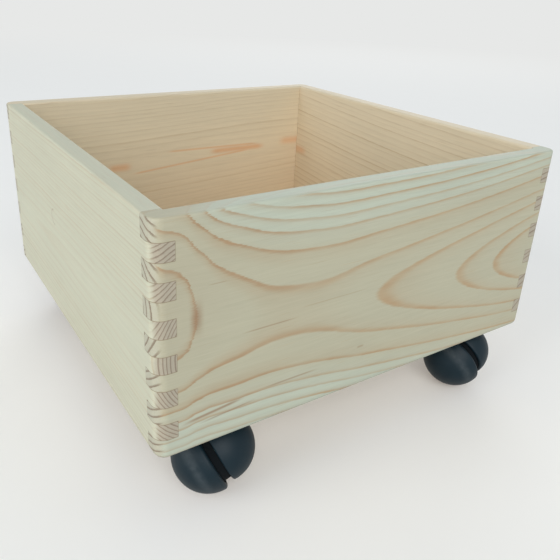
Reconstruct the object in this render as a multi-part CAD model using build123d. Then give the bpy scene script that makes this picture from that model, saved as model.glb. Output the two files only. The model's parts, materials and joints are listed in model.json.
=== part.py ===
from build123d import *

import os
from math import atan2, cos, degrees, hypot, radians

# Plant pot caddy: an open pine box with finger-jointed corners, carried on four hooded ball casters.
# Millimetres, +Z up. The ground is Z = 0 and the origin lies on it under the middle of the box.
# The front is -Y and the left is -X. Each caster swivels on an upright stem, and its hollow ball
# wheel spins on an axle that leans upwards into the hood.

# Box of four boards
box_length = 300.0            # along X, over the left and right boards
box_width = 300.0             # along Y, over the front and back boards
box_height = 138.0
board_thickness = 12.0
corner_radius = 7.0           # upright outer corners
bottom_edge_radius = 5.0
rim_outer_radius = 1.5
rim_inner_radius = 2.0

# Finger joints: rows counted from the top, odd rows on the front and back boards
finger_rows = 13
top_finger = 12.0
bottom_finger = 13.8

# Floor panel, tongued into a groove round the inside of the boards
panel_thickness = 9.0
panel_recess = 10.5           # lower edge of the boards to the underside of the panel
panel_side_gap = 0.5          # room for the panel to swell between the boards
tongue_thickness = 5.0
groove_depth = 5.0
tongue_end_gap = 0.5

# Casters, one in each corner under the floor panel
stem_inset = 33.5             # inner face of a board to the swivel axis
caster_headings = {"front_left": -9.5, "front_right": 4.5, "back_left": 184.5, "back_right": 170.5}

# Ball wheel and hood, two domes on one leaning axle
ball_radius = 23.0            # the wheel is half of this ball
hood_radius = 21.3
hood_shift = 7.8              # the hood's centre beyond the ball's, along the axle
split_gap = 4.8               # open slot between the wheel and the hood
shell_wall = 3.0
axle_tilt = 26.0              # degrees that the axle climbs towards the hood
trail = 25.0                  # swivel axis to the ball's centre
wheel_rim_radius = 2.0        # rounding of the wheel's edge at the slot
hood_rim_radius = 1.2
hub_radius = 7.0
rib_thickness = 2.0
rib_count = 6
sweep_gap = 1.0               # between the neck and the turning ball
guard_radius = 18.6           # collar on the hood that keeps thread out of the slot
guard_wall = 2.0
guard_reach = 2.0             # into the hollow wheel, past the slot
guard_root = 4.0              # into the hood's dome

# Neck on the hood that takes the stem, with an arm to the hood's dome
neck_radius = 8.5
neck_rise = 8.4               # top of the neck above the top of the ball
neck_length = 23.4
neck_end_radius = 5.0
arm_radius = 6.0
arm_drop = 7.5                # middle of the arm below the top of the ball
arm_inset = 9.6               # end of the arm from the middle of the dome

# Axle
axle_radius = 3.0
axle_reach = 17.0             # each way from the middle of the ball
axle_end_gap = 1.0
axle_chamfer = 0.5

# Swivel stem, riveted into the mounting plate
stem_radius = 4.0
socket_depth = 15.0           # stem's bore in the neck
stem_end_gap = 0.3
stem_chamfer = 0.6
rivet_radius = 6.5
rivet_height = 1.8
washer_thickness = 1.0
washer_radius = 8.0

# Snap rings that hold the stem in the neck and the wheel on the axle
ring_thickness = 0.8
ring_bite = 0.7               # depth of the ring's groove in the shaft
ring_overhang = 0.9           # how far the ring stands out of the shaft
ring_gap = 0.3                # free room round the ring in the turning part
ring_mouth = 1.6              # open end of the ring
stem_ring_rise = 3.0          # ring above the floor of the stem's bore
axle_ring_inset = 3.0         # ring in from the wheel end of the axle

# Mounting plate
plate_width = 42.0
plate_thickness = 2.5
plate_corner_radius = 4.0
plate_hole_spacing = 32.0
plate_hole_radius = 2.2
cup_depth = 2.0               # dished middle that hides the rivet head
cup_radius = 8.0

# Plate screws
screw_radius = 1.75
screw_length = 10.0           # under the head
screw_point = 2.0
screw_head_radius = 3.6
screw_head_height = 2.0
slot_width = 0.9
slot_length = 4.2
slot_depth = 1.1

running_gap = 0.05            # a shaft in the bore that it turns in
press_gap = 0.02              # a pressed or screwed fit
thrust_gap = 0.1              # between the neck and its washer

# Heights that follow from the casters
ball_top = 2 * ball_radius
neck_top = ball_top + neck_rise
socket_floor = neck_top - socket_depth
washer_bottom = neck_top + thrust_gap
cup_bottom = washer_bottom + washer_thickness
plate_top = cup_bottom + plate_thickness + cup_depth
plate_bottom = plate_top - plate_thickness
box_bottom = plate_top - panel_recess
box_top = box_bottom + box_height
panel_top = plate_top + panel_thickness

# Plan sizes that follow from the boards
inner_length = box_length - 2 * board_thickness
inner_width = box_width - 2 * board_thickness
stem_x = inner_length / 2 - stem_inset
stem_y = inner_width / 2 - stem_inset

FROM_BELOW = (Align.CENTER, Align.CENTER, Align.MIN)


def slab(length, width, bottom, top):
    """A block centred on the origin in plan, between two heights."""
    return Pos(0, 0, bottom) * Box(length, width, top - bottom, align=FROM_BELOW)


def rod(radius, bottom, top):
    """An upright cylinder on the Z axis, between two heights."""
    return Pos(0, 0, bottom) * Cylinder(radius, top - bottom, align=FROM_BELOW)


def named(shape, name):
    """Write one sub-part to its own file."""
    export_step(shape, f"parts/{name}.step")


# ---- box -------------------------------------------------------------------------------------

def box_shell():
    """The four walls as one rounded frame, open at the top and bottom, with the panel's groove."""
    shell = slab(box_length, box_width, box_bottom, box_top)
    shell = fillet(shell.edges().filter_by(Axis.Z), corner_radius)
    shell = fillet(shell.faces().sort_by(Axis.Z)[0].edges(), bottom_edge_radius)
    shell = fillet(shell.faces().sort_by(Axis.Z)[-1].edges(), rim_outer_radius)
    shell -= slab(inner_length, inner_width, box_bottom, box_top)
    rim = shell.faces().sort_by(Axis.Z)[-1]
    shell = fillet(rim.inner_wires()[0].edges(), rim_inner_radius)
    groove = slab(inner_length + 2 * groove_depth, inner_width + 2 * groove_depth, *tongue_heights())
    return shell - groove


def tongue_heights():
    """Bottom and top of the panel's tongue, midway up the panel."""
    middle = plate_top + panel_thickness / 2
    return middle - tongue_thickness / 2, middle + tongue_thickness / 2


def finger_bounds():
    """Heights of the edges of the finger rows, from the top down."""
    pitch = (box_height - top_finger - bottom_finger) / (finger_rows - 2)
    middle_edges = [box_top - top_finger - pitch * row for row in range(finger_rows - 1)]
    return [box_top, *middle_edges, box_bottom]


def corner_fingers(first_row):
    """Blocks that fill every second finger row at all four corners."""
    bounds = finger_bounds()
    corner_x = (box_length - board_thickness) / 2
    corner_y = (box_width - board_thickness) / 2
    blocks = []
    for row in range(first_row, finger_rows, 2):
        block = slab(board_thickness, board_thickness, bounds[row + 1], bounds[row])
        blocks += [Pos(x, y, 0) * block for x in (-corner_x, corner_x) for y in (-corner_y, corner_y)]
    return blocks


def boards():
    """Front, back, left and right boards, cut from the shell along the finger rows."""
    shell = box_shell()
    long_wall = slab(inner_length, board_thickness, box_bottom, box_top)
    side_wall = slab(board_thickness, inner_width, box_bottom, box_top)
    wall_x = (box_length - board_thickness) / 2
    wall_y = (box_width - board_thickness) / 2
    odd_fingers = corner_fingers(0)
    even_fingers = corner_fingers(1)
    layout = {
        "front_board": (Pos(0, -wall_y, 0) * long_wall, [f for f in odd_fingers if f.center().Y < 0]),
        "back_board": (Pos(0, wall_y, 0) * long_wall, [f for f in odd_fingers if f.center().Y > 0]),
        "left_board": (Pos(-wall_x, 0, 0) * side_wall, [f for f in even_fingers if f.center().X < 0]),
        "right_board": (Pos(wall_x, 0, 0) * side_wall, [f for f in even_fingers if f.center().X > 0]),
    }
    return {name: shell & (wall + fingers) for name, (wall, fingers) in layout.items()}


def floor_panel():
    """The tongued panel that the pot stands on, with blind pilot holes for the plate screws."""
    side_room = 2 * panel_side_gap
    reach = 2 * (groove_depth - tongue_end_gap)
    panel = slab(inner_length - side_room, inner_width - side_room, plate_top, panel_top)
    panel += slab(inner_length + reach, inner_width + reach, *tongue_heights())
    pilot = rod(screw_radius + press_gap, plate_top, plate_bottom + screw_length)
    return panel - [Pos(x, y, 0) * pilot for x, y in screw_places()]


# ---- fasteners -------------------------------------------------------------------------------

def stem_places():
    """Plan position of each caster's swivel axis."""
    return {
        "front_left": (-stem_x, -stem_y),
        "front_right": (stem_x, -stem_y),
        "back_left": (-stem_x, stem_y),
        "back_right": (stem_x, stem_y),
    }


def screw_places():
    """Plan position of every plate screw, four round each stem."""
    half = plate_hole_spacing / 2
    round_stem = [(dx, dy) for dx in (-half, half) for dy in (-half, half)]
    return [(x + dx, y + dy) for x, y in stem_places().values() for dx, dy in round_stem]


def plate_screw():
    """A pan-head wood screw, head down, standing on the Z axis."""
    head = rod(screw_head_radius, plate_bottom - screw_head_height, plate_bottom)
    head = fillet(head.edges().sort_by(Axis.Z)[0], screw_head_height / 2)
    slot_bottom = plate_bottom - screw_head_height
    slot = slab(slot_length, slot_width, slot_bottom, slot_bottom + slot_depth)
    head -= [slot, Rot(0, 0, 90) * slot]
    tip = plate_bottom + screw_length
    shank = rod(screw_radius, plate_bottom, tip - screw_point)
    point = Pos(0, 0, tip - screw_point) * Cone(screw_radius, 0, screw_point, align=FROM_BELOW)
    return head + shank + point


def plate_screws():
    """All the plate screws, as separate solids."""
    screw = plate_screw()
    return Compound(children=[Pos(x, y, 0) * screw for x, y in screw_places()])


def snap_ring(shaft_radius, bottom):
    """An open spring ring in a shaft's groove."""
    top = bottom + ring_thickness
    inner = shaft_radius - ring_bite + press_gap
    outer = shaft_radius + ring_overhang
    ring = rod(outer, bottom, top) - rod(inner, bottom, top)
    return ring - Pos(outer / 2 + inner / 2, 0, 0) * slab(2 * (outer - inner), ring_mouth, bottom, top)


def ring_groove(shaft_radius, bottom):
    """The groove in a shaft that a snap ring sits in."""
    top = bottom + ring_thickness
    return rod(shaft_radius + ring_overhang, bottom, top) - rod(shaft_radius - ring_bite, bottom, top)


def ring_room(shaft_radius, bottom):
    """The wider ring-shaped room that a snap ring turns in."""
    outer = shaft_radius + ring_overhang + ring_gap
    return rod(outer, bottom - ring_gap, bottom + ring_thickness + ring_gap)


# ---- caster, built with its stem on the Z axis and the ball trailing towards -Y ----------------

def on_axle(shape):
    """Move a shape drawn with the axle along Z, hood upwards, onto the leaning axle."""
    return Pos(0, -trail, ball_radius) * Rot(0, 90 - axle_tilt, 0) * shape


def dome(radius, middle, face, rim_radius):
    """A hollow ball cut off by its flat face, with a hub and ribs inside. The ball's middle and its
    face are given as heights on the axle."""
    top = middle + radius
    above = slab(2 * top, 2 * top, face, top)
    place = Pos(0, 0, middle)
    outer = place * Sphere(radius) & above
    outer = fillet(outer.edges().filter_by(GeomType.CIRCLE), rim_radius)
    rib = Pos(radius / 2, 0, 0) * slab(radius, rib_thickness, face + shell_wall, top)
    ribs = [Rot(0, 0, 360 / rib_count * turn) * rib for turn in range(rib_count)]
    filling = place * Sphere(radius - shell_wall / 2) & (rod(hub_radius, face, top) + ribs)
    return (outer - place * Sphere(radius - shell_wall)) + filling


def wheel():
    """Hollow ball wheel that turns on the axle, on the lower side of the slot."""
    cap = Rot(180, 0, 0) * dome(ball_radius, 0, 0, wheel_rim_radius)
    cap -= rod(axle_radius + running_gap, -axle_reach - axle_end_gap, 0)
    cap -= ring_room(axle_radius, axle_ring_inset - axle_reach)
    return on_axle(cap)


def axle():
    """Plain pin pressed into the hood, grooved for the ring that keeps the wheel on."""
    pin = rod(axle_radius, -axle_reach, axle_reach)
    pin = chamfer(pin.edges().filter_by(GeomType.CIRCLE), axle_chamfer)
    return on_axle(pin - ring_groove(axle_radius, axle_ring_inset - axle_reach))


def axle_ring():
    """Snap ring on the axle, inside the wheel's hub."""
    return on_axle(snap_ring(axle_radius, axle_ring_inset - axle_reach))


def ball_sweep():
    """The space on the wheel's side of the slot that the turning ball needs."""
    reach = ball_radius + sweep_gap
    return on_axle(Sphere(reach) & slab(2 * reach, 2 * reach, -reach, split_gap))


def neck():
    """Solid socket post round the stem, rounded at its lower end."""
    post = rod(neck_radius, neck_top - neck_length, neck_top)
    return fillet(post.edges().sort_by(Axis.Z)[0], neck_end_radius)


def arm():
    """Round arm from the neck into the wall of the hood's dome."""
    along = hood_shift * cos(radians(axle_tilt))
    length = hypot(along, trail) - arm_inset
    bar = Rot(0, 90, 0) * rod(arm_radius, 0, length)
    return Pos(0, 0, ball_top - arm_drop) * Rot(0, 0, degrees(atan2(-trail, along))) * bar


def thread_guard():
    """Collar across the slot, from the hood's dome into the hollow of the wheel."""
    top = split_gap + guard_root
    return on_axle(rod(guard_radius, -guard_reach, top) - rod(guard_radius - guard_wall, -guard_reach, top))


def hood():
    """Domed hood with its neck and thread guard, bored for the stem and the axle."""
    cavity = on_axle(Pos(0, 0, hood_shift) * Sphere(hood_radius - shell_wall))
    body = on_axle(dome(hood_radius, hood_shift, split_gap, hood_rim_radius))
    body += neck() + arm() - [cavity, ball_sweep()]
    body += thread_guard()
    body -= on_axle(rod(axle_radius + press_gap, split_gap, axle_reach + axle_end_gap))
    body -= rod(stem_radius + running_gap, socket_floor, neck_top)
    return body - ring_room(stem_radius, socket_floor + stem_ring_rise)


def stem():
    """Swivel stem with its rivet head in the plate's cup."""
    foot = socket_floor + stem_end_gap
    shank = rod(stem_radius, foot, cup_bottom + plate_thickness)
    shank = chamfer(shank.edges().sort_by(Axis.Z)[0], stem_chamfer)
    head_bottom = cup_bottom + plate_thickness
    head = rod(rivet_radius, head_bottom, head_bottom + rivet_height)
    return shank + head - ring_groove(stem_radius, socket_floor + stem_ring_rise)


def stem_ring():
    """Snap ring on the stem, inside the hood's neck."""
    return snap_ring(stem_radius, socket_floor + stem_ring_rise)


def swivel_washer():
    """Thrust washer between the plate and the neck."""
    hole = rod(stem_radius + press_gap, washer_bottom, cup_bottom)
    return rod(washer_radius, washer_bottom, cup_bottom) - hole


def mounting_plate():
    """Pressed square plate with four screw holes and a dished middle for the rivet head."""
    plate = slab(plate_width, plate_width, plate_bottom, plate_top)
    plate = fillet(plate.edges().filter_by(Axis.Z), plate_corner_radius)
    cup_outer = cup_radius + plate_thickness
    plate += rod(cup_outer, cup_bottom, plate_top)
    plate -= rod(cup_radius, cup_bottom + plate_thickness, plate_top)
    plate -= rod(stem_radius + press_gap, cup_bottom, plate_top)
    half = plate_hole_spacing / 2
    hole = rod(plate_hole_radius, plate_bottom, plate_top)
    return plate - [Pos(x, y, 0) * hole for x in (-half, half) for y in (-half, half)]


def casters():
    """Every piece of the four casters, by name."""
    fixed = {"plate": mounting_plate(), "stem": stem(), "stem_ring": stem_ring(), "washer": swivel_washer()}
    turning = {"hood": hood(), "axle": axle(), "axle_ring": axle_ring(), "wheel": wheel()}
    pieces = {}
    for corner, (x, y) in stem_places().items():
        for name, shape in fixed.items():
            pieces[f"{corner}_{name}"] = Pos(x, y, 0) * shape
        for name, shape in turning.items():
            pieces[f"{corner}_{name}"] = Pos(x, y, 0) * Rot(0, 0, caster_headings[corner]) * shape
    return pieces


def main():
    os.makedirs("parts", exist_ok=True)
    pieces = {**boards(), "floor_panel": floor_panel(), "plate_screws": plate_screws(), **casters()}
    for name, shape in pieces.items():
        named(shape, name)


main()
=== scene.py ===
from dataclasses import dataclass
import json
import math

import bmesh
import bpy
from bpy.props import FloatProperty, FloatVectorProperty, IntProperty, PointerProperty
from mathutils import Matrix, Vector


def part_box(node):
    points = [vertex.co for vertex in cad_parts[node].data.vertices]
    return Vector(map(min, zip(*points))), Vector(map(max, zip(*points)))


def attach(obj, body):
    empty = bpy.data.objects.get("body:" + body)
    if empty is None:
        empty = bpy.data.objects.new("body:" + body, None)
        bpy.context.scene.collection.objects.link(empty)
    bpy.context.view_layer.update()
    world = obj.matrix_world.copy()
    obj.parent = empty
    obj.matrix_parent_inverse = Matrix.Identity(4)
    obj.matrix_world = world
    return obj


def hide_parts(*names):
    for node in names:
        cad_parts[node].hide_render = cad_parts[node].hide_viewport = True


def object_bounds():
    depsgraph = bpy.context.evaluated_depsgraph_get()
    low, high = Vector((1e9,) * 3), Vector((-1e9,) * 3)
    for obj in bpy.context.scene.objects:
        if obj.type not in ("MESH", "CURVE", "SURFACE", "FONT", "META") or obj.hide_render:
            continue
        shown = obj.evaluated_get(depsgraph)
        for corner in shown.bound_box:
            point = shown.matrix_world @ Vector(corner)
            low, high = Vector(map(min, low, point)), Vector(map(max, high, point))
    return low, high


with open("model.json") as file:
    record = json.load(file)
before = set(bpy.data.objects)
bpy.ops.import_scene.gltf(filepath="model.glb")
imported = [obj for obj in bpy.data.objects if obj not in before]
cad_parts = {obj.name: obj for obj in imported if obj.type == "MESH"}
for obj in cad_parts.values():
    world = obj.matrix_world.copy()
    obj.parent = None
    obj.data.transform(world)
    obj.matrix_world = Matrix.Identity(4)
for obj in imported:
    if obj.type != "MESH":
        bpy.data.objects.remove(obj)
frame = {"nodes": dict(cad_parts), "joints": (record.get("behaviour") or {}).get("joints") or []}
CAD_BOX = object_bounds()

bl_info = {
    "name": "Plant Pot Caddy",
    "version": (1, 0, 0),
    "blender": (4, 5, 0),
    "location": "3D View > Sidebar > Caddy",
    "description": "Finishes a finger-jointed pine plant caddy on ball casters",
    "category": "Object",
}

# Sizes below are metres in the model and millimetres inside the materials. The box's front is -Y and
# its left is -X. "Below" and "down" on a board are measured from the rim.

MM = 1000.0
CORNERS = ("front_left", "front_right", "back_left", "back_right")


def srgb(*channels):
    """Linear colour from the 0 to 255 values that a paint chart gives."""
    shares = [channel / 255 for channel in channels]
    return tuple(((share + 0.055) / 1.055) ** 2.4 if share > 0.04045 else share / 12.92
                 for share in shares)


def colour_prop(name, description, default):
    return FloatVectorProperty(
        name=name, description=description, default=default, subtype="COLOR", min=0, max=1)


def length_prop(name, description, default):
    return FloatProperty(
        name=name, description=description, default=default, subtype="DISTANCE", unit="LENGTH", min=0)


def number_prop(name, description, default, low=0.0, high=1000.0):
    return FloatProperty(name=name, description=description, default=default, min=low, max=high)


# ---- settings --------------------------------------------------------------------------------

class PineSettings(bpy.types.PropertyGroup):
    """Colours and grain sizes of the planed pine."""

    front_wood: colour_prop("Front board", "Wood near the pith of the front board", srgb(184, 177, 151))
    front_sap: colour_prop("Front board's sapwood", "Paler wood at its edges", srgb(187, 190, 170))
    left_wood: colour_prop("Left board", "Wood of the left board", srgb(199, 196, 172))
    inner_wood: colour_prop("Back and right boards", "Wood of these two boards", srgb(216, 199, 169))
    panel_wood: colour_prop("Floor panel", "Wood of the panel", srgb(214, 206, 182))
    late: colour_prop("Late wood", "Dark line at the end of each year's growth", srgb(178, 148, 111))
    # This colour is also the tint of the painted warm bounce light inside the box.
    heart: colour_prop("Heart stain", "Brown wood round resin and tight grain", srgb(150, 119, 90))
    flame: colour_prop("Flame stain", "Orange flames in the back and right boards", srgb(214, 158, 112))
    end_wood: colour_prop("Side board ends", "Fibre ends of the side boards", srgb(174, 162, 142))
    end_sap: colour_prop("Front board ends", "Fibre ends of front and back", srgb(184, 178, 156))
    end_line: colour_prop("End grain line", "Growth line across open fibre ends", srgb(126, 106, 86))
    seam: colour_prop("Joint line", "Hairline where two fingers meet", srgb(120, 96, 66))
    late_width: length_prop("Late wood width", "Depth of the dark wood in one growth ring", 0.0016)
    fibre_width: length_prop("Fibre width", "Width of the finest streaks", 0.00045)
    fibre_length: length_prop("Fibre length", "Length of the finest streaks", 0.018)
    seam_width: length_prop("Joint line width", "Half width of the hairline between fingers", 0.00016)
    relief: length_prop("Grain relief", "Height of the grain on the planed face", 0.00012)


class PlasticSettings(bpy.types.PropertyGroup):
    """Finish of the moulded casters."""

    body: colour_prop("Plastic", "Moulded black of the wheels and hoods", srgb(8, 30, 39))
    scuff: colour_prop("Scuffs", "Grey of the rolled track and rubbed spots", srgb(92, 98, 100))
    roughness: number_prop("Roughness", "Satin sheen of the moulding", 0.5, 0, 1)
    # Painted shade: this colour is painted inside a caster's slot, where shade falls between wheel and
    # hood.
    shade: colour_prop("Slot", "Unpolished black inside the slot of a caster", srgb(9, 12, 14))
    track_width: length_prop("Track width", "Width of the scuffed band that a wheel rolls on", 0.004)


class MetalSettings(bpy.types.PropertyGroup):
    """Colours of the small metal parts and washers."""

    zinc: colour_prop("Zinc", "Bright zinc plating of plates, stems and screws", srgb(190, 193, 192))
    zinc_shade: colour_prop("Zinc shade", "Darker crystals in the plating", srgb(146, 150, 150))
    spring: colour_prop("Spring steel", "Oiled dark steel of the snap rings", srgb(84, 84, 88))
    nylon: colour_prop("Nylon", "Natural nylon of the thrust washers", srgb(216, 211, 196))


class ScrewSettings(bpy.types.PropertyGroup):
    """Sizes of the plate screws."""

    hole_spacing: length_prop("Hole spacing", "Between two screws of one plate", 0.032)
    head_radius: length_prop("Head radius", "Radius of the pan head", 0.0036)
    head_height: length_prop("Head height", "Height of the pan head", 0.002)
    shank_radius: length_prop("Thread radius", "Outer radius of the thread", 0.00175)
    thread_depth: length_prop("Thread depth", "Crest to root of the thread", 0.0003)
    pitch: length_prop("Pitch", "Rise of the thread in one turn", 0.0014)
    shank_length: length_prop("Length", "Under the head to the point", 0.01)
    point_length: length_prop("Point", "Length of the tapered point", 0.002)
    recess_length: length_prop("Recess length", "Across the cross recess in the head", 0.0042)
    recess_width: length_prop("Recess width", "Width of one arm of the recess", 0.0009)
    recess_depth: length_prop("Recess depth", "Depth of the recess", 0.0011)
    seed: IntProperty(name="Turn seed", description="Changes how far each screw is turned", default=7)


class StageSettings(bpy.types.PropertyGroup):
    """Floor, lamps and camera."""

    floor: colour_prop("Floor", "Plain pale floor", srgb(222, 222, 219))
    floor_glow: colour_prop("Floor glow", "Light added where the floor is seen", (0.21, 0.175, 0.145))
    backdrop: colour_prop("Backdrop", "Even colour of the far floor and beyond", srgb(231, 232, 231))
    camera_place: FloatVectorProperty(
        name="Camera place", description="Where the camera stands", subtype="XYZ", unit="LENGTH",
        default=(-0.2465, -0.3871, 0.2865))
    camera_turn: FloatVectorProperty(
        name="Camera turn", description="Tilt, roll and heading of the camera", subtype="EULER",
        default=(math.radians(67.38), math.radians(-2.29), math.radians(-32.59)))
    lens: number_prop("Lens", "Focal length in millimetres", 39.44)
    shift_x: number_prop("Shift X", "Sideways framing", 0.0283, -1, 1)
    shift_y: number_prop("Shift Y", "Upright framing", -0.0768, -1, 1)
    side_power: number_prop("Side lamp", "Watts of the large lamp on the left", 72.0)
    front_power: number_prop("Front lamp", "Watts of the fill lamp behind the camera", 88.0)
    back_power: number_prop("Back lamp", "Watts of the fill lamp behind the box", 50.0)
    sky: number_prop("Sky", "Strength of the even light all round", 0.52)
    sky_colour: colour_prop("Sky colour", "Cool daylight all round", (0.68, 0.85, 1.0))


# ---- shader arithmetic -----------------------------------------------------------------------

class Value:
    """One output in a node tree. Python arithmetic on it adds Math nodes to the tree."""

    def __init__(self, nodes, socket):
        self.nodes = nodes
        self.socket = socket

    def maths(self, operation, *terms):
        return self.nodes.add("ShaderNodeMath", {"operation": operation}, dict(enumerate(terms)))

    def __add__(self, other):
        return self.maths("ADD", self, other)

    def __sub__(self, other):
        return self.maths("SUBTRACT", self, other)

    def __rsub__(self, other):
        return self.maths("SUBTRACT", other, self)

    def __mul__(self, other):
        return self.maths("MULTIPLY", self, other)

    def __truediv__(self, other):
        return self.maths("DIVIDE", self, other)

    def __pow__(self, power):
        return self.maths("POWER", self, power)

    def __abs__(self):
        return self.maths("ABSOLUTE", self)

    __radd__ = __add__
    __rmul__ = __mul__

    def fraction(self):
        return self.maths("FRACT", self)

    def whole(self):
        return self.maths("FLOOR", self)

    def least(self, other):
        return self.maths("MINIMUM", self, other)

    def most(self, other):
        return self.maths("MAXIMUM", self, other)

    def rise(self, start, end):
        """0 up to start and 1 from end, smooth in between. start may be the larger one."""
        low, high, before, after = (start, end, 0.0, 1.0) if start < end else (end, start, 1.0, 0.0)
        return self.nodes.add("ShaderNodeMapRange", {"interpolation_type": "SMOOTHSTEP", "clamp": True},
                              {0: self, 1: low, 2: high, 3: before, 4: after})

    def hump(self, middle, reach):
        """1 at middle, falling smoothly to 0 at reach on both sides."""
        return abs(self - middle).rise(reach, 0.0)

    def follow(self, points, smooth=True):
        """Read a curve drawn through (input, output) points."""
        (start, _), (end, _) = points[0], points[-1]
        low = min(y for _, y in points)
        high = max(y for _, y in points)
        unit = [((x - start) / (end - start), (y - low) / (high - low)) for x, y in points]
        share = self.nodes.add("ShaderNodeFloatCurve", {"curve": (unit, smooth)},
                               {"Factor": 1.0, "Value": (self - start) / (end - start)})
        return share * (high - low) + low


class Nodes:
    """A node tree that is built by name, settings and sockets."""

    def __init__(self, tree):
        self.tree = tree

    def add(self, kind, settings=None, inputs=None, output=0):
        """Add a node, set it up, feed its sockets with numbers, colours or values; return an output."""
        node = self.tree.nodes.new(kind)
        for key, setting in (settings or {}).items():
            if key == "curve":
                draw_curve(node.mapping, *setting)
            else:
                setattr(node, key, setting)
        self.feed(node, inputs or {})
        return Value(self, node.outputs[output])

    def seen(self):
        """1 for what the camera sees straight, in a mirror or through glass, 0 for light on its way."""
        straight, mirrored, through = (
            self.add("ShaderNodeLightPath", output=ray)
            for ray in ("Is Camera Ray", "Is Glossy Ray", "Is Transmission Ray"))
        return straight.most(mirrored).most(through)

    def feed(self, node, inputs):
        for key, given in inputs.items():
            socket = node.inputs[key]
            if isinstance(given, Value):
                self.tree.links.new(given.socket, socket)
            elif socket.type == "RGBA":
                socket.default_value = (*given, 1.0)
            else:
                socket.default_value = given


class Finish(Nodes):
    """One material and its node tree, around a single Principled shader."""

    def __init__(self, name):
        self.material = bpy.data.materials.new(name)
        self.material.use_nodes = True
        super().__init__(self.material.node_tree)
        self.shader = self.tree.nodes["Principled BSDF"]

    def place(self):
        """Object coordinates in millimetres, as x, y and z."""
        return [part * MM for part in self.split(self.add("ShaderNodeTexCoord", output=3))]

    def facing(self):
        """Parts of the surface normal along x, y and z."""
        return self.split(self.add("ShaderNodeTexCoord", output=1))

    def split(self, vector):
        node = self.tree.nodes.new("ShaderNodeSeparateXYZ")
        self.feed(node, {0: vector})
        return [Value(self, socket) for socket in node.outputs]

    def waves(self, place, lengths, seed=None, seeded=0, **texture):
        """Smooth noise with waves of these lengths along the three parts of a place.

        A seed gives other waves of the same kind. It is added to the part that seeded counts to."""
        parts = [part / length for part, length in zip(place, lengths)]
        if seed is not None:
            parts[seeded] = parts[seeded] + seed
        return self.noise(*parts, **texture)

    def noise(self, x, y, z, detail=2.0, roughness=0.5):
        """Smooth noise from about -0.5 to 0.5."""
        where = self.add("ShaderNodeCombineXYZ", None, {0: x, 1: y, 2: z})
        inputs = {"Vector": where, "Scale": 1.0, "Detail": detail, "Roughness": roughness}
        return self.add("ShaderNodeTexNoise", {"normalize": True}, inputs) - 0.5

    def chance(self, number):
        """A fixed random value from 0 to 1 for each whole number."""
        return self.add("ShaderNodeTexWhiteNoise", {"noise_dimensions": "1D"}, {"W": number})

    def mix(self, share, first, second, blend="MIX"):
        """Blend two colours."""
        settings = {"data_type": "RGBA", "blend_type": blend, "clamp_factor": True}
        return self.add("ShaderNodeMix", settings, {0: share, 6: first, 7: second}, output=2)

    def brighten(self, colour, amount):
        """Scale a colour by a number near 1."""
        grey = self.add("ShaderNodeCombineColor", None, {0: amount, 1: amount, 2: amount})
        return self.mix(1.0, colour, grey, "MULTIPLY")

    def bump(self, height, strength, distance):
        """Feed the shader's normal with a height in share of distance."""
        self.feed(self.shader, {"Normal": self.add(
            "ShaderNodeBump", None, {"Strength": strength, "Distance": distance, "Height": height})})

    def set(self, **inputs):
        """Set the shader's sockets. Underscores stand for spaces."""
        self.feed(self.shader, {key.replace("_", " "): given for key, given in inputs.items()})
        return self.material


def draw_curve(mapping, points, smooth):
    """Lay a curve through points that run from 0 to 1."""
    curve = mapping.curves[0]
    curve.points[0].location = points[0]
    curve.points[1].location = points[-1]
    for point in points[1:-1]:
        curve.points.new(*point)
    for point in curve.points:
        point.handle_type = "AUTO_CLAMPED" if smooth else "VECTOR"
    mapping.update()


# ---- pine ------------------------------------------------------------------------------------

RIM = CAD_BOX[1].z * MM
BOX_LENGTH = (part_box("right_board")[1].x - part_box("left_board")[0].x) * MM
BOX_WIDTH = (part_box("back_board")[1].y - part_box("front_board")[0].y) * MM
BOARD = (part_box("front_board")[1].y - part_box("front_board")[0].y) * MM
BOX_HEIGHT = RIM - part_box("front_board")[0].z * MM

# Heights of the rows of fingers, counted from the rim. Those between the first and last are alike.
FIRST_ROW = 12.0
LAST_ROW = 13.8
ROWS = 13
ROW_PITCH = (BOX_HEIGHT - FIRST_ROW - LAST_ROW) / (ROWS - 2)

# Waves of the grain: lengths along the board, down from the rim and in from the face
RAGGED = (25, 0.6, 0.6)     # torn edges of the growth lines
SWAY = (60, 22, 30)         # slow bends of the rings
TREMOR = (8, 1.6, 1.6)      # small bends of the rings
RESIN = (22, 0.55, 0.8)     # short dark streaks
TONE = (90, 30, 40)         # slow changes of brightness
PORES = (2, 0.25, 0.25)     # open fibres where a board is cut across
STRONG_ALONG, STRONG_DOWN = 35, 7       # strong and weak stretches of the growth lines
RAGGED_REACH = 4
TREMOR_REACH = 0.8
STRAND_LENGTH, STRAND_WIDTH = 4, 5      # a strand of fibres, in lengths and widths of a fibre

# Growth rings, in millimetres
DRIFT_WAVE, DRIFT = 14, 2.4             # even rings drift by up to this many years
SAPWOOD = (62, 78)                      # radii between which the inner wood turns into the outer
END_RINGS = 4.1                         # between the lines on the ends of the front and back boards
END_LINE = (0.62, 0.88)                 # rise of such a line, in shares of its ring
HAZE_FADES = (100, 30)                  # where along the board the extra haze starts and is full
BROWN_FADES = (190, 30)                 # the same for the browner colour of the lines

# Late wood takes this share of a year's count where the rings are uneven. In even rings its share
# follows from its width, up to the second number.
LATE_SHARE = 0.25
LATE_SHARE_EVEN = 0.4
LINE_RISE = (1.2, 0.3)      # start and full strength of the line, in late widths before the year ends
HAZE_RISE = (3.0, 0.5)
LINE_PART, HAZE_PART = 0.75, 0.25
STRONGEST_YEAR = 1.05
UNEVEN = 1.1                # how much the strength of a line changes along it

# Where resin streaks, the fibres' ends and faces that look up begin to show, and show fully
RESIN_SHOWS = (0.22, 0.34)
CUT_ACROSS = (0.35, 0.8)
LOOKS_UP = (0.4, 0.8)

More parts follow.
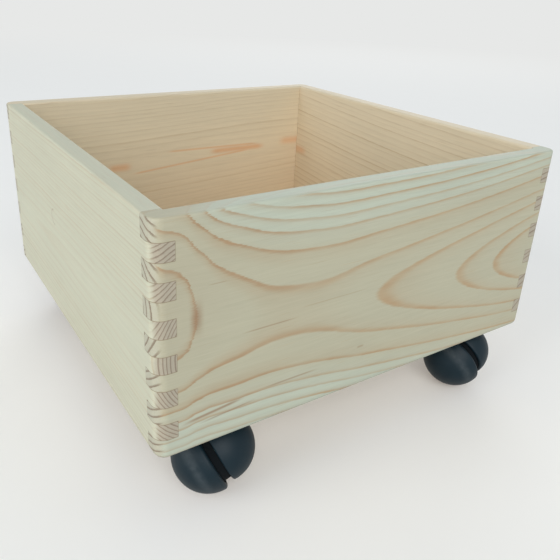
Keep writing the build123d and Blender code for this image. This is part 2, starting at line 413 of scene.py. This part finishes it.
# How strongly the parts of the grain tint the wood, lighten it, stand out of it and dull it
RESIN_TINT, END_TINT, SEAM_TINT = 0.3, 0.85, 0.6
FIBRE_LIGHT, STRAND_LIGHT, TONE_LIGHT, PORE_LIGHT = 0.19, 0.13, 0.08, 0.25
FIBRE_RELIEF, STRAND_RELIEF, LATE_RELIEF, RELIEF_STRENGTH = 0.6, 0.4, 0.5, 0.5
WOOD_ROUGHNESS, FIBRE_ROUGHNESS, LATE_GLOSS = 0.62, 0.1, 0.1
WOOD_IOR = 1.45
RIM_CALM, RIM_PAINTED_SHADE = 0.7, 0.06         # on top, lines are fainter and the wood gets painted shade, darker by these shares


@dataclass
class Plank:
    """How one board was cut from its tree. Lengths are in millimetres."""

    along: str              # axis that the grain follows
    face: float             # where the face that shows is, on the axis across the board
    pith_depth: list        # how far behind that face the tree's middle lies, at places along the board
    pith_drop: list         # how far below the rim it lies
    rings: list | float     # radii at which each year's growth ends, or else the width of every year
    seed: float             # gives each board its own noise
    contrast: float         # strength of the late wood
    woods: tuple            # settings for the wood near the tree's middle and far from it
    waves: float = 1.0      # how far the rings sway
    spread: float = 0.8     # how unlike each other the years are
    haze: float = 0.0       # extra brown before each year's end, at the start of the board
    quiet: tuple = ()       # rings that fade: place in rings, where the fading starts and ends, share


PLANKS = {
    "front_board": Plank(
        "X", -BOX_WIDTH / 2,
        pith_depth=[(0, 32), (13, 34.6), (24, 42.5), (45, 50), (85, 54),
                    (143, 50), (214, 42.5), (252, 36.8), (300, 28)],
        pith_drop=[(0, 51), (13, 52.5), (25, 56), (45, 62), (85, 68), (143, 73), (252, 76), (300, 75)],
        rings=[4, 12, 20, 28, 36.8, 42.5, 50, 56.5, 65.7, 72.2, 77, 82, 87, 92, 97, 102],
        seed=3.0, contrast=0.9, woods=("front_wood", "front_sap"), waves=0.5, spread=0.5, haze=0.3,
        quiet=((4, 90, 60, 1.0), (6, 95, 70, 1.0), (11, 110, 60, 0.5), (12, 110, 60, 0.5))),
    "left_board": Plank(
        "Y", -BOX_LENGTH / 2, pith_depth=[(0, 46), (300, 44)], pith_drop=[(0, 79), (300, 77)],
        rings=2.1, seed=17.0, contrast=0.42, woods=("left_wood", "left_wood")),
    "back_board": Plank(
        "X", BOX_WIDTH / 2 - BOARD, pith_depth=[(0, 36), (150, 35), (300, 36)],
        pith_drop=[(0, 68), (100, 66), (240, 59), (300, 57)],
        rings=2.9, seed=29.0, contrast=0.3, woods=("inner_wood", "inner_wood")),
    "right_board": Plank(
        "Y", BOX_LENGTH / 2 - BOARD, pith_depth=[(0, 20), (150, 24), (300, 26)],
        pith_drop=[(0, 128), (150, 138), (300, 144)],
        rings=4.9, seed=41.0, contrast=0.55, woods=("inner_wood", "inner_wood")),
}


def grain_place(finish, plank):
    """Along the board, down from the rim, and in from its show face, all in millimetres."""
    x, y, z = finish.place()
    if plank.along == "X":
        return x + BOX_LENGTH / 2, RIM - z, y - plank.face
    return BOX_WIDTH / 2 - y, RIM - z, x - plank.face


def ring_radius(wood, plank, place):
    """Distance from the middle of the tree, as uneven as real rings are."""
    u, down, depth = place
    ragged = u + wood.waves(place, RAGGED, plank.seed, 2, detail=1.0) * RAGGED_REACH
    sway = wood.waves(place, SWAY, plank.seed, detail=1.5) * plank.waves
    tremor = wood.waves(place, TREMOR, plank.seed) * TREMOR_REACH
    behind = ragged.follow(plank.pith_depth) - depth
    aside = down - ragged.follow(plank.pith_drop) + tremor
    return (behind * behind + aside * aside) ** 0.5 + sway


def growth(wood, plank, radius, late_width):
    """The number of the year at a radius, the place in it from 0 to 1, and its late wood's share."""
    if isinstance(plank.rings, float):
        drift = wood.noise(radius / DRIFT_WAVE, plank.seed, 0.0, detail=1.0) * DRIFT
        year = radius / plank.rings + drift
        return year.whole(), year.fraction(), min(late_width / plank.rings, LATE_SHARE_EVEN)
    points = []
    for number, (start, end) in enumerate(zip(plank.rings, plank.rings[1:])):
        points += [(start, number), (end - late_width, number + 1 - LATE_SHARE)]
    points.append((plank.rings[-1], len(plank.rings) - 1))
    year = radius.follow(points, smooth=False)
    return year.whole(), year.fraction(), LATE_SHARE


def late_wood(wood, plank, place, radius):
    """The sharp line at each year's end, and the line with its haze as strong as that year is."""
    u, down, _ = place
    number, part, share = growth(wood, plank, radius, bpy.context.scene.caddy_pine.late_width * MM)
    strength = wood.chance(number + plank.seed) * plank.spread + (STRONGEST_YEAR - plank.spread)
    strength = strength * (1 + wood.noise(u / STRONG_ALONG, down / STRONG_DOWN, plank.seed) * UNEVEN)
    for ring, loud, silent, loss in plank.quiet:
        strength = strength * (1 - number.hump(ring - 1, 0.5) * u.rise(loud, silent) * loss)
    line_start, line_full = (1 - share * widths for widths in LINE_RISE)
    haze_start, haze_full = (1 - share * widths for widths in HAZE_RISE)
    year_ends = part.rise(1.0, line_full)
    line = part.rise(line_start, line_full) * year_ends
    haze = part.rise(haze_start, haze_full) * year_ends
    return line, (line * LINE_PART + haze * (u.rise(*HAZE_FADES) * plank.haze + HAZE_PART)) * strength


def pine(name, plank):
    """Planed pine, cut from a solid of growth rings so that faces, edges and ends agree."""
    look = bpy.context.scene.caddy_pine
    wood = Finish(name)
    place = u, down, depth = grain_place(wood, plank)
    radius = ring_radius(wood, plank, place)
    line, late = late_wood(wood, plank, place, radius)

    # Fibres, resin streaks and slow changes of tone
    wide = look.fibre_width * MM
    long = look.fibre_length * MM
    fibre = wood.waves(place, (long, wide, wide), roughness=0.6)
    coarse = (long * STRAND_LENGTH, wide * STRAND_WIDTH, wide * STRAND_WIDTH)
    strand = wood.waves(place, coarse, plank.seed, 2)
    streak = wood.waves(place, RESIN, plank.seed, detail=0.0).rise(*RESIN_SHOWS)
    tone = wood.waves(place, TONE, plank.seed, 1, detail=1.0)

    # The fibres' ends show where the surface turns across the grain
    facing = wood.facing()
    end = abs(facing[0 if plank.along == "X" else 1]).rise(*CUT_ACROSS)
    topside = facing[2].rise(*LOOKS_UP)
    pores = wood.waves(place, PORES, detail=1.0) * end

    near, far = (getattr(look, wood_name) for wood_name in plank.woods)
    side = wood.mix(radius.rise(*SAPWOOD), near, far)
    line_colour = wood.mix(u.rise(*BROWN_FADES) * plank.haze, look.late, look.heart)
    side = wood.mix(late * (1 - topside * RIM_CALM) * plank.contrast, side, line_colour)
    # Stains, and painted warm bounce light on the inner faces of the back and right boards.
    for stain, weight, shade in stains_and_bounce_light(name, u, down, depth):
        side = wood.mix(stain * weight, side, getattr(look, shade))
    side = wood.mix(streak * RESIN_TINT, side, look.late)
    if plank.along == "X":
        end_wood, end_line = look.end_sap, (radius / END_RINGS).fraction().rise(*END_LINE)
    else:
        end_wood, end_line = look.end_wood, line
    cut = wood.mix(end_line * END_TINT, end_wood, look.end_line)
    colour = wood.mix(end, side, cut)
    colour = wood.mix(finger_seams(u, down, plank) * SEAM_TINT, colour, look.seam)
    light = 1 + fibre * FIBRE_LIGHT + strand * STRAND_LIGHT + tone * TONE_LIGHT
    # Faces that look up get painted shade: the rims are made darker.
    light = light + pores * PORE_LIGHT - topside * RIM_PAINTED_SHADE

    relief = fibre * FIBRE_RELIEF + strand * STRAND_RELIEF + late * LATE_RELIEF + pores
    wood.bump(relief, RELIEF_STRENGTH, look.relief)
    rough = WOOD_ROUGHNESS - late * LATE_GLOSS + fibre * FIBRE_ROUGHNESS
    return wood.set(Base_Color=wood.brighten(colour, light), Roughness=rough, IOR=WOOD_IOR)


def finger_seams(u, down, plank):
    """1 on the hairlines round the fingers at both ends of a board, 0 elsewhere.

    Rows are counted from 0 at the rim. The front and back boards reach the corner in rows 0, 2, 4 and
    so on, the side boards in the others."""
    half = bpy.context.scene.caddy_pine.seam_width * MM
    hairline = (half * 2, half * 0.5)
    from_end = u.least(BOX_LENGTH - u)
    row = ((down - FIRST_ROW) / ROW_PITCH + 1).most(0.5).least(ROWS - 0.5)
    from_edge = abs((row + 0.5).fraction() - 0.5) * ROW_PITCH
    level = from_edge.rise(*hairline) * from_end.rise(BOARD, BOARD - half)
    odd_row = (row.whole() / 2).fraction().rise(0.2, 0.3)
    stops = odd_row if plank.along == "X" else 1 - odd_row
    upright = abs(from_end - BOARD).rise(*hairline) * stops
    return level.most(upright)


# The colour of each board's streaks and, for each streak, its start and end along the grain, its place
# below the rim, its reach to both sides, its slope and its strength
STREAKS = {
    "front_board": ("heart", (
        (47, 88, 72.5, 0.7, 0.0, 0.6), (85, 138, 67, 0.6, 0.0, 0.35), (28, 42, 39, 0.6, 0.0, 0.4),
        (12, 54, 116, 1.5, 0.1, 0.85), (22, 62, 119.5, 0.9, 0.08, 0.6), (63, 105, 112.5, 0.9, 0.0, 0.6),
        (132, 139, 107, 1.2, 0.0, 0.5))),
    "back_board": ("flame", (
        (180, 249, 58.5, 4.5, 0.0, 0.75), (135, 240, 54.5, 1.6, -0.012, 0.6),
        (100, 230, 66, 1.6, 0.085, 0.6), (76, 104, 64, 6.0, 0.0, 0.7), (262, 300, 56, 6.5, 0.0, 0.6))),
    "right_board": ("flame", ((-10, 33, 66, 6.5, 0.0, 0.6),)),
}
STREAK_FADE = 12.0          # at most, at each end of a streak
STAIN_DEPTH = 1.5           # stains and the painted bounce light reach this far in from the show face
# Painted light: the inner faces of the back and right boards grow warmer further below the rim, as
# light bounced inside the box would tint them.
PAINTED_BOUNCE_WARMTH = {"back_board": 0.16, "right_board": 0.12}
PAINTED_BOUNCE_LEVELS = (20, 110)     # below the rim, where the painted warm bounce light starts and is full


def patch(u, down, start, end, level, reach, slope):
    """A streak along the grain: 1 between start and end and near its level, soft at its rim."""
    fade = min(STREAK_FADE, (end - start) / 3)
    inside = u.rise(start, start + fade) * u.rise(end, end - fade)
    return inside * (down + u * slope).hump(level + slope * (start + end) / 2, reach)


def stains_and_bounce_light(name, u, down, depth):
    """Stains that belong to one board, and painted warm bounce light inside the box: each is a mask,
    its strength and its colour's setting.
    """
    face = depth.rise(STAIN_DEPTH, 0.0)
    if name == "front_board":       # a brown patch on one growth line, and faint brown round it
        yield u.hump(23, 5) * down.hump(56, 14) * face, 0.7, "heart"
        yield u.rise(60, 5) * down.hump(40, 60) * face, 0.12, "heart"
    if name == "left_board":        # a small open ring, as a tool presses into wood
        from_middle = ((u - 128) ** 2 + (down - 57) ** 2) ** 0.5
        yield from_middle.hump(5.5, 0.9) * u.rise(130, 127) * face, 0.5, "heart"
    # Painted light: warm bounce light, stronger further below the rim.
    if name in PAINTED_BOUNCE_WARMTH:
        yield down.rise(*PAINTED_BOUNCE_LEVELS) * face, PAINTED_BOUNCE_WARMTH[name], "flame"
    shade, streaks = STREAKS.get(name, ("heart", ()))
    for *shape, weight in streaks:
        yield patch(u, down, *shape) * face, weight, shade


# ---- plastic, metal and nylon ----------------------------------------------------------------

# Lengths of the finishes' waves along x, y and z
SWIRL = (14, 14, 14)        # slow marks of the moulding
SPARK = (0.35, 0.35, 0.35)  # fine texture of the moulding
DUST = (2.5, 2.5, 2.5)
WEAR = (3, 3, 3)
FLAKES = (3, 3, 3)          # crystals of the zinc
SCRATCHES = (0.2, 9, 3)
OIL = (1.5, 1.5, 1.5)
CLOUDS = (4, 4, 4)          # in the nylon

# Scuffs, dust, painted slot shade and relief of the moulding
DUST_SHOWS = (0.1, 0.3)
DUST_TINT, WEAR_AND_SHADE_TINT = 0.1, 0.45
WEAR_MEAN = 0.55
TRACK_EDGE = 1.1            # the scuffed band fades out at this many track widths
MOULDING_RELIEF = 0.00008
PLASTIC_IOR = 1.33

# Painted shade inside a caster's slot: the darkened collar round the axle ends between these distances,
# out from the axle and along it
COLLAR_ENDS = (19.6, 19.0)
SLOT_ENDS = (5.6, 5.0)
PAINTED_SLOT_SHADE = 2


def moulded_black(name, centre, axle, rolls):
    """Satin black moulding round an axle. One that rolls is scuffed where it meets the ground, and the
    other has painted shade, a dark collar inside the slot where shade falls between hood and wheel."""
    look = bpy.context.scene.caddy_plastic
    skin = Finish(name)
    place = skin.place()
    swirl = skin.waves(place, SWIRL, detail=3.0)
    spark = skin.waves(place, SPARK, detail=1.0)
    dust = skin.waves(place, DUST, detail=4.0, roughness=0.65).rise(*DUST_SHOWS)
    side, front, up = (part - middle * MM for part, middle in zip(place, centre))
    uphill = math.copysign(1, axle[2])
    along = (side * axle[0] + front * axle[1] + up * axle[2]) * uphill
    if rolls:
        ground = -centre[2] * MM * abs(axle[2])
        patchy = skin.waves(place, WEAR, detail=3.0) + WEAR_MEAN
        wear_and_slot_shade = along.hump(ground, look.track_width * MM * TRACK_EDGE) * patchy
        wear_and_shade_colour = look.scuff
    else:
        # Painted shade: the hood is darkened round the axle inside the slot, where little light
        # reaches.
        out = (side * side + front * front + up * up - along * along) ** 0.5
        wear_and_slot_shade = out.rise(*COLLAR_ENDS) * along.rise(*SLOT_ENDS) * PAINTED_SLOT_SHADE
        wear_and_shade_colour = look.shade
    colour = skin.mix(dust * DUST_TINT, look.body, look.scuff)
    colour = skin.mix(wear_and_slot_shade * WEAR_AND_SHADE_TINT, colour, wear_and_shade_colour)
    skin.bump(spark * 0.5 + swirl, 0.25, MOULDING_RELIEF)
    colour = skin.brighten(colour, 1 + swirl * 0.25)
    rough = look.roughness + swirl * 0.12 + dust * 0.15 + wear_and_slot_shade * 0.25
    return skin.set(Base_Color=colour, Roughness=rough, IOR=PLASTIC_IOR)


FINE_BUMP = 0.2
ZINC_RELIEF = 0.00005
STEEL_RELIEF = 0.00003
NYLON_RELIEF = 0.00005


def zinc_plate(name):
    """Bright zinc with faint crystals and drawn scratches."""
    look = bpy.context.scene.caddy_metal
    skin = Finish(name)
    place = skin.place()
    flake = skin.waves(place, FLAKES, detail=4.0, roughness=0.7)
    scratch = skin.waves(place, SCRATCHES)
    skin.bump(flake + scratch * 0.5, FINE_BUMP, ZINC_RELIEF)
    return skin.set(Base_Color=skin.mix(flake + 0.5, look.zinc_shade, look.zinc), Metallic=1.0,
                    Roughness=0.34 + flake * 0.2 + scratch * 0.08)


def spring_steel():
    """Dark oiled steel."""
    skin = Finish("spring_steel")
    mottle = skin.waves(skin.place(), OIL, detail=3.0)
    skin.bump(mottle, FINE_BUMP, STEEL_RELIEF)
    colour = skin.brighten(bpy.context.scene.caddy_metal.spring, 1 + mottle * 0.4)
    return skin.set(Base_Color=colour, Metallic=1.0, Roughness=0.4 + mottle * 0.2)


def natural_nylon():
    """Milky nylon with soft moulding marks."""
    skin = Finish("natural_nylon")
    cloud = skin.waves(skin.place(), CLOUDS)
    skin.bump(cloud, FINE_BUMP, NYLON_RELIEF)
    colour = skin.brighten(bpy.context.scene.caddy_metal.nylon, 1 + cloud * 0.1)
    return skin.set(Base_Color=colour, Roughness=0.45 + cloud * 0.1)


def dress(node, material):
    """Give a CAD node one material."""
    mesh = frame["nodes"][node].data
    mesh.materials.clear()
    mesh.materials.append(material)


# ---- plate screws ----------------------------------------------------------------------------

SCREW_SIDES = 24
RINGS_PER_TURN = 6
HEAD_RINGS = 6
HEAD_CURVE = (0.6, 0.9)     # how full the pan head is, sideways and upwards: 1 is a round head
HEAD_TOP = 0.3              # radius of the last ring on top, in shares of the one before
RECESS_MOUTH = 1.5          # the cut starts this many head heights above the seat
RECESS_FLOOR = 0.7          # width of its floor, in shares of its mouth
SLIVER = 0.00001            # points closer than this are one


def turned_mesh(name, rings):
    """A closed mesh from rings of points, with a pole at the first and at the last ring's middle."""
    form = bmesh.new()
    rows = [[form.verts.new(point) for point in ring] for ring in rings]
    for upper, lower in zip(rows, rows[1:]):
        for side in range(SCREW_SIDES):
            after = (side + 1) % SCREW_SIDES
            form.faces.new((upper[side], upper[after], lower[after], lower[side]))
    for row in (rows[0], rows[-1]):
        pole = form.verts.new(sum((vert.co for vert in row), Vector()) / SCREW_SIDES)
        for side in range(SCREW_SIDES):
            form.faces.new((row[side], row[(side + 1) % SCREW_SIDES], pole))
    bmesh.ops.recalc_face_normals(form, faces=form.faces)
    mesh = bpy.data.meshes.new(name)
    form.to_mesh(mesh)
    form.free()
    return mesh


def screw_rings(screws):
    """Rings of one screw with its point up and the seat of its head at height 0."""
    turns = [2 * math.pi * side / SCREW_SIDES for side in range(SCREW_SIDES)]
    steps = round(RINGS_PER_TURN * screws.shank_length / screws.pitch)
    rings = []
    for step in range(1, steps + 1):
        height = screws.shank_length * (1 - step / steps)
        taper = min(1.0, (screws.shank_length - height) / screws.point_length)
        ring = []
        for turn in turns:
            crest = 1 - abs(2 * ((height / screws.pitch - turn / (2 * math.pi)) % 1.0) - 1)
            radius = taper * (screws.shank_radius - screws.thread_depth * (1 - crest))
            ring.append((radius * math.cos(turn), radius * math.sin(turn), height))
        rings.append(ring)
    for step in range(HEAD_RINGS):
        lean = math.pi / 2 * step / HEAD_RINGS
        radius = screws.head_radius * math.cos(lean) ** HEAD_CURVE[0]
        height = -screws.head_height * math.sin(lean) ** HEAD_CURVE[1]
        rings.append([(radius * math.cos(turn), radius * math.sin(turn), height) for turn in turns])
    rings.append([(x * HEAD_TOP, y * HEAD_TOP, -screws.head_height) for x, y, _ in rings[-1]])
    return rings


def recess_mesh(screws):
    """The cross that is cut into the head, narrower at its floor."""
    long, wide = screws.recess_length / 2, screws.recess_width / 2
    corner = [(long, -wide), (long, wide), (wide, wide)]
    outline = []
    for quarter in range(4):
        turn = Matrix.Rotation(quarter * math.pi / 2, 2)
        outline += [turn @ Vector(point) for point in corner]
    mouth = -screws.head_height * RECESS_MOUTH
    floor = -screws.head_height + screws.recess_depth
    points = [(*point, mouth) for point in outline]
    points += [(*(point * RECESS_FLOOR), floor) for point in outline]
    count = len(outline)
    faces = []
    for side in range(count):
        after = (side + 1) % count
        faces.append((side, after, count + after, count + side))
    faces += [tuple(reversed(range(count))), tuple(range(count, 2 * count))]
    mesh = bpy.data.meshes.new("recess")
    mesh.from_pydata(points, [], faces)
    return mesh


def place_object(name, data):
    """A new object in the scene, around a mesh, a light or a camera."""
    thing = bpy.data.objects.new(name, data)
    bpy.context.scene.collection.objects.link(thing)
    return thing


def settled(thing):
    """The plain mesh of an object with its modifiers applied. The object is removed."""
    depsgraph = bpy.context.evaluated_depsgraph_get()
    mesh = bpy.data.meshes.new_from_object(thing.evaluated_get(depsgraph), depsgraph=depsgraph)
    bpy.data.objects.remove(thing)
    return mesh


def without_slivers(mesh):
    """Merge points that a cut left on top of each other."""
    form = bmesh.new()
    form.from_mesh(mesh)
    bmesh.ops.remove_doubles(form, verts=form.verts, dist=SLIVER)
    bmesh.ops.dissolve_degenerate(form, edges=form.edges, dist=SLIVER)
    form.to_mesh(mesh)
    form.free()
    return mesh


def screw_pattern():
    """Node tree that sets four screws round each point, each turned at random."""
    tree = bpy.data.node_groups.new("plate_screw_pattern", "GeometryNodeTree")
    for name, kind in (("Plate middles", "NodeSocketGeometry"), ("Screw", "NodeSocketObject"),
                       ("Hole spacing", "NodeSocketFloat"), ("Turn seed", "NodeSocketInt"),
                       ("Finish", "NodeSocketMaterial")):
        tree.interface.new_socket(name, in_out="INPUT", socket_type=kind)
    tree.interface.new_socket("Screws", in_out="OUTPUT", socket_type="NodeSocketGeometry")
    nodes = Nodes(tree)
    given = tree.nodes.new("NodeGroupInput")
    middles, screw, spacing, seed, finish = (Value(nodes, socket) for socket in given.outputs[:5])
    square = nodes.add("GeometryNodeMeshGrid", None,
                       {"Size X": spacing, "Size Y": spacing, "Vertices X": 2, "Vertices Y": 2})
    squares = nodes.add("GeometryNodeInstanceOnPoints", None, {"Points": middles, "Instance": square})
    holes = nodes.add("GeometryNodeRealizeInstances", None, {"Geometry": squares})
    shape = nodes.add("GeometryNodeObjectInfo", None, {"Object": screw}, output="Geometry")
    turn = nodes.add("FunctionNodeRandomValue", {"data_type": "FLOAT"},
                     {2: 0.0, 3: 2 * math.pi, "Seed": seed}, output=1)
    upright = nodes.add("ShaderNodeCombineXYZ", None, {"Z": turn})
    screws = nodes.add("GeometryNodeInstanceOnPoints", None,
                       {"Points": holes, "Instance": shape, "Rotation": upright})
    whole = nodes.add("GeometryNodeRealizeInstances", None, {"Geometry": screws})
    done = nodes.add("GeometryNodeSetMaterial", None, {"Geometry": whole, "Material": finish})
    tree.links.new(done.socket, tree.nodes.new("NodeGroupOutput").inputs[0])
    return tree


# ---- operators -------------------------------------------------------------------------------

class CADDY_OT_boards(bpy.types.Operator):
    """Finish the four boards, each cut from its own tree"""

    bl_idname = "caddy.boards"
    bl_label = "Boards"

    def execute(self, context):
        for name, plank in PLANKS.items():
            dress(name, pine(name, plank))
        return {"FINISHED"}


class CADDY_OT_floor_panel(bpy.types.Operator):
    """Finish the panel that the pot stands on"""

    bl_idname = "caddy.floor_panel"
    bl_label = "Floor panel"

    def execute(self, context):
        panel = Plank("X", -BOX_WIDTH / 2, [(0, 150), (300, 160)], [(0, 150), (300, 151)],
                      rings=4.0, seed=53.0, contrast=0.7, woods=("panel_wood", "panel_wood"))
        dress("floor_panel", pine("floor_panel", panel))
        return {"FINISHED"}


class CADDY_OT_casters(bpy.types.Operator):
    """Finish the hoods and ball wheels"""

    bl_idname = "caddy.casters"
    bl_label = "Hoods and wheels"

    def execute(self, context):
        joints_by_name = {joint["name"]: joint for joint in frame["joints"]}
        for corner in CORNERS:
            roll = joints_by_name[f"{corner}_roll"]
            for part in ("hood", "wheel"):
                node = f"{corner}_{part}"
                dress(node, moulded_black(node, roll["pos_m"], roll["axis"], part == "wheel"))
        return {"FINISHED"}


class CADDY_OT_fittings(bpy.types.Operator):
    """Finish the plates, stems, axles, rings and washers"""

    bl_idname = "caddy.fittings"
    bl_label = "Plates, stems and rings"

    def execute(self, context):
        zinc, spring, nylon = zinc_plate("zinc_plating"), spring_steel(), natural_nylon()
        finishes = {"plate": zinc, "stem": zinc, "axle": zinc, "stem_ring": spring, "axle_ring": spring,
                    "washer": nylon}
        for corner in CORNERS:
            for part, finish in finishes.items():
                dress(f"{corner}_{part}", finish)
        return {"FINISHED"}


class CADDY_OT_plate_screws(bpy.types.Operator):
    """Cross-head screws that hold the caster plates to the floor panel"""

    bl_idname = "caddy.plate_screws"
    bl_label = "Plate screws"

    def execute(self, context):
        screws = context.scene.caddy_screws
        screw = place_object("screw", turned_mesh("screw", screw_rings(screws)))
        recess = place_object("recess", recess_mesh(screws))
        cut = screw.modifiers.new("recess", "BOOLEAN")
        cut.operation, cut.solver, cut.object = "DIFFERENCE", "EXACT", recess
        screw = place_object("screw", without_slivers(settled(screw)))
        bpy.data.objects.remove(recess)

        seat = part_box("plate_screws")[0].z + screws.head_height
        middles = bpy.data.meshes.new("plate_middles")
        middles.from_pydata([(*plate_middle(corner), seat) for corner in CORNERS], [], [])
        holder = place_object("plate_middles", middles)
        pattern = holder.modifiers.new("screws", "NODES")
        pattern.node_group = screw_pattern()
        inputs = {item.name: item.identifier for item in pattern.node_group.interface.items_tree
                  if item.in_out == "INPUT"}
        pattern[inputs["Screw"]] = screw
        pattern[inputs["Hole spacing"]] = screws.hole_spacing
        pattern[inputs["Turn seed"]] = screws.seed
        pattern[inputs["Finish"]] = zinc_plate("screw_plating")
        piece = place_object("cross_head_screws", settled(holder))
        bpy.data.objects.remove(screw)
        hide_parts("plate_screws")
        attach(piece, "box")
        return {"FINISHED"}


def plate_middle(corner):
    """The middle of a caster's plate, seen from above."""
    low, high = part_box(f"{corner}_plate")
    return (low.x + high.x) / 2, (low.y + high.y) / 2


class CADDY_OT_stage(bpy.types.Operator):
    """Build the floor, the lamps and the camera"""

    bl_idname = "caddy.stage"
    bl_label = "Stage"

    def execute(self, context):
        stage = context.scene.caddy_stage
        lay_floor(stage)
        hang_lamps(stage)
        light_sky(stage)
        stand_camera(stage)
        context.scene.view_settings.view_transform = "Standard"
        return {"FINISHED"}


BLACK = (0.0, 0.0, 0.0)
FLOOR_REACH = 80.0          # metres to each side
FLOOR_WAVES = (60, 60, 1)
NEAR, FAR = 700, 3200       # the floor turns evenly pale between these distances, in millimetres


def lay_floor(stage):
    """A plain floor that takes the light and shadow near the box and is evenly pale far from it."""
    mesh = bpy.data.meshes.new("floor")
    corners = [(x * FLOOR_REACH, y * FLOOR_REACH, 0) for x, y in ((-1, -1), (1, -1), (1, 1), (-1, 1))]
    mesh.from_pydata(corners, [], [(0, 1, 2, 3)])
    cover = Finish("floor_paint")
    x, y, _ = cover.place()
    mottle = cover.waves((x, y, 0.0), FLOOR_WAVES, detail=3.0)
    seen = cover.seen()
    far = seen * ((x * x + y * y) ** 0.5).rise(NEAR, FAR)
    glow = cover.mix(far, cover.mix(seen, BLACK, stage.floor_glow), stage.backdrop)
    colour = cover.mix(far, cover.brighten(stage.floor, 1 + mottle * 0.02), BLACK)
    mesh.materials.append(cover.set(Base_Color=colour, Roughness=0.9, Specular_IOR_Level=0.0,
                                    Emission_Color=glow, Emission_Strength=1.0))
    floor = place_object("floor", mesh)


LAMP_SIZE = 2.8
WARM_WHITE = (1.0, 0.98, 0.97)
SIDE_WHITE = (1.0, 0.98, 0.98)


def hang_lamps(stage):
    """Large soft lamps on the left, behind the camera and behind the box."""
    lamps = {
        "side_lamp": ((-3.8, 0.0, 1.5), stage.side_power, SIDE_WHITE),
        "front_lamp": ((-1.1, -3.1, 2.1), stage.front_power, WARM_WHITE),
        "back_lamp": ((2.7, 2.7, 1.6), stage.back_power, WARM_WHITE),
    }
    middle = (CAD_BOX[0] + CAD_BOX[1]) / 2
    for name, (place, power, tint) in lamps.items():
        light = bpy.data.lights.new(name, "AREA")
        light.size, light.energy, light.color = LAMP_SIZE, power, tint
        lamp = place_object(name, light)
        lamp.location = place
        lamp.rotation_euler = (middle - Vector(place)).to_track_quat("-Z", "Y").to_euler()


def light_sky(stage):
    """Even light from all round. Where the sky is seen, it has the far floor's colour, so there is no
    horizon."""
    world = bpy.data.worlds.new("studio")
    world.use_nodes = True
    sky = Nodes(world.node_tree)
    light = sky.tree.nodes["Background"]
    sky.feed(light, {"Color": stage.sky_colour, "Strength": stage.sky})
    backdrop = sky.add("ShaderNodeBackground", None, {"Color": stage.backdrop})
    lit = Value(sky, light.outputs["Background"])
    either = sky.add("ShaderNodeMixShader", None, {0: sky.seen(), 1: lit, 2: backdrop})
    sky.feed(sky.tree.nodes["World Output"], {"Surface": either})
    bpy.context.scene.world = world


SENSOR_WIDTH = 36.0


def stand_camera(stage):
    """The camera, where the settings put it."""
    view = bpy.data.cameras.new("camera")
    view.lens, view.shift_x, view.shift_y = stage.lens, stage.shift_x, stage.shift_y
    view.sensor_width = SENSOR_WIDTH
    camera = place_object("camera", view)
    camera.location = stage.camera_place
    camera.rotation_euler = stage.camera_turn
    bpy.context.scene.camera = camera


class CADDY_PT_panel(bpy.types.Panel):
    """Every step of the caddy's finish"""

    bl_idname = "CADDY_PT_panel"
    bl_label = "Plant Pot Caddy"
    bl_space_type = "VIEW_3D"
    bl_region_type = "UI"
    bl_category = "Caddy"

    def draw(self, context):
        for operator in OPERATORS:
            self.layout.operator(operator.bl_idname)
        for group in SETTINGS:
            settings = getattr(context.scene, group)
            for name in settings.__annotations__:
                self.layout.prop(settings, name)


SETTINGS = {
    "caddy_pine": PineSettings,
    "caddy_plastic": PlasticSettings,
    "caddy_metal": MetalSettings,
    "caddy_screws": ScrewSettings,
    "caddy_stage": StageSettings,
}
OPERATORS = (CADDY_OT_boards, CADDY_OT_floor_panel, CADDY_OT_casters, CADDY_OT_fittings,
             CADDY_OT_plate_screws, CADDY_OT_stage)


def register():
    for group, settings in SETTINGS.items():
        bpy.utils.register_class(settings)
        setattr(bpy.types.Scene, group, PointerProperty(type=settings))
    for operator in OPERATORS:
        bpy.utils.register_class(operator)
    bpy.utils.register_class(CADDY_PT_panel)


def unregister():
    bpy.utils.unregister_class(CADDY_PT_panel)
    for operator in reversed(OPERATORS):
        bpy.utils.unregister_class(operator)
    for group, settings in reversed(SETTINGS.items()):
        delattr(bpy.types.Scene, group)
        bpy.utils.unregister_class(settings)


def main():
    register()
    bpy.ops.caddy.boards()
    bpy.ops.caddy.floor_panel()
    bpy.ops.caddy.casters()
    bpy.ops.caddy.fittings()
    bpy.ops.caddy.plate_screws()
    bpy.ops.caddy.stage()


if __name__ == "__main__":
    main()
